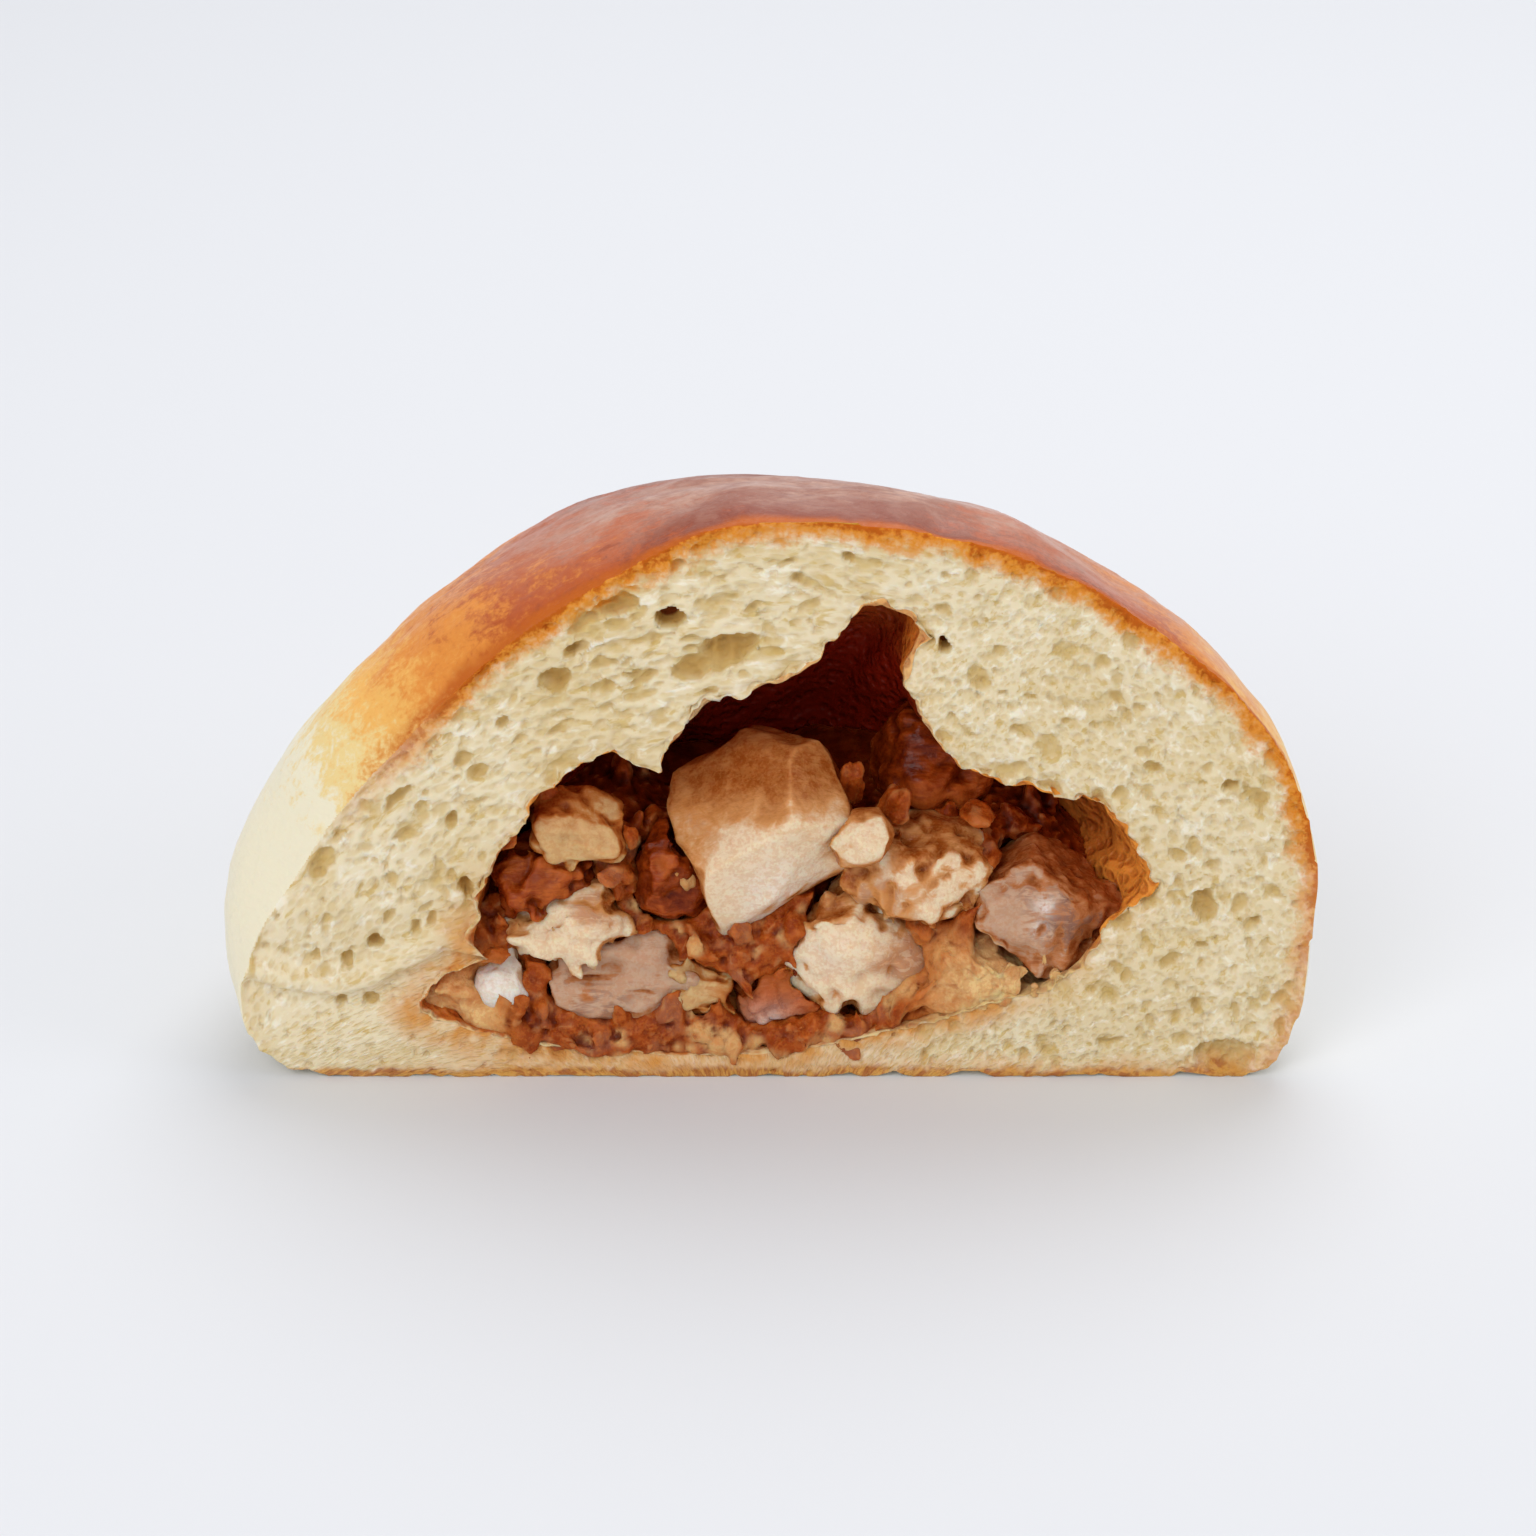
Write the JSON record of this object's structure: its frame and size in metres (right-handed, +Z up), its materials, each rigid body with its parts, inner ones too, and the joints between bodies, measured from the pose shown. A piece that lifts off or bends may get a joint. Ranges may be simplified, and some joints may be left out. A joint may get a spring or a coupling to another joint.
{
  "type": "char siu bao half",
  "caption": "Half of a baked char siu bao, cut upright through the middle: glazed brown crust, cream crumb, and a torn hollow with diced roast pork in sauce.",
  "frame": {"origin": "middle of the base, on the plane the half rests on", "axes": "+X along the cut face towards the fuller end, -Y out of the cut face, +Y towards the crust at the back, +Z up"},
  "size_m": [0.105, 0.052, 0.0585],
  "materials": {
    "dough": "egg-glazed brown crust outside, open cream crumb at the cut",
    "mince": "moist, with brown roast-pork sauce",
    "meat": "moist cooked pork, partly coated with sauce",
    "fat": "moist pork fat"
  },
  "bodies": {
    "root": {"dough": "dough", "mince": "mince", "pork_large_dice": "meat", "pork_hooked_dice": "meat", "pork_corner_dice": "meat", "pork_middle_dice": "meat", "pork_chip": "meat", "pork_lean_dice": "meat", "pork_pale_strip": "meat", "pork_upper_dice": "meat", "pork_cream_dice": "meat", "pork_glazed_dice": "meat", "pork_low_dice": "meat", "pork_crumbled_dice": "meat", "pork_back_dice": "meat", "pork_fat": "fat"}
  },
  "joints": []
}
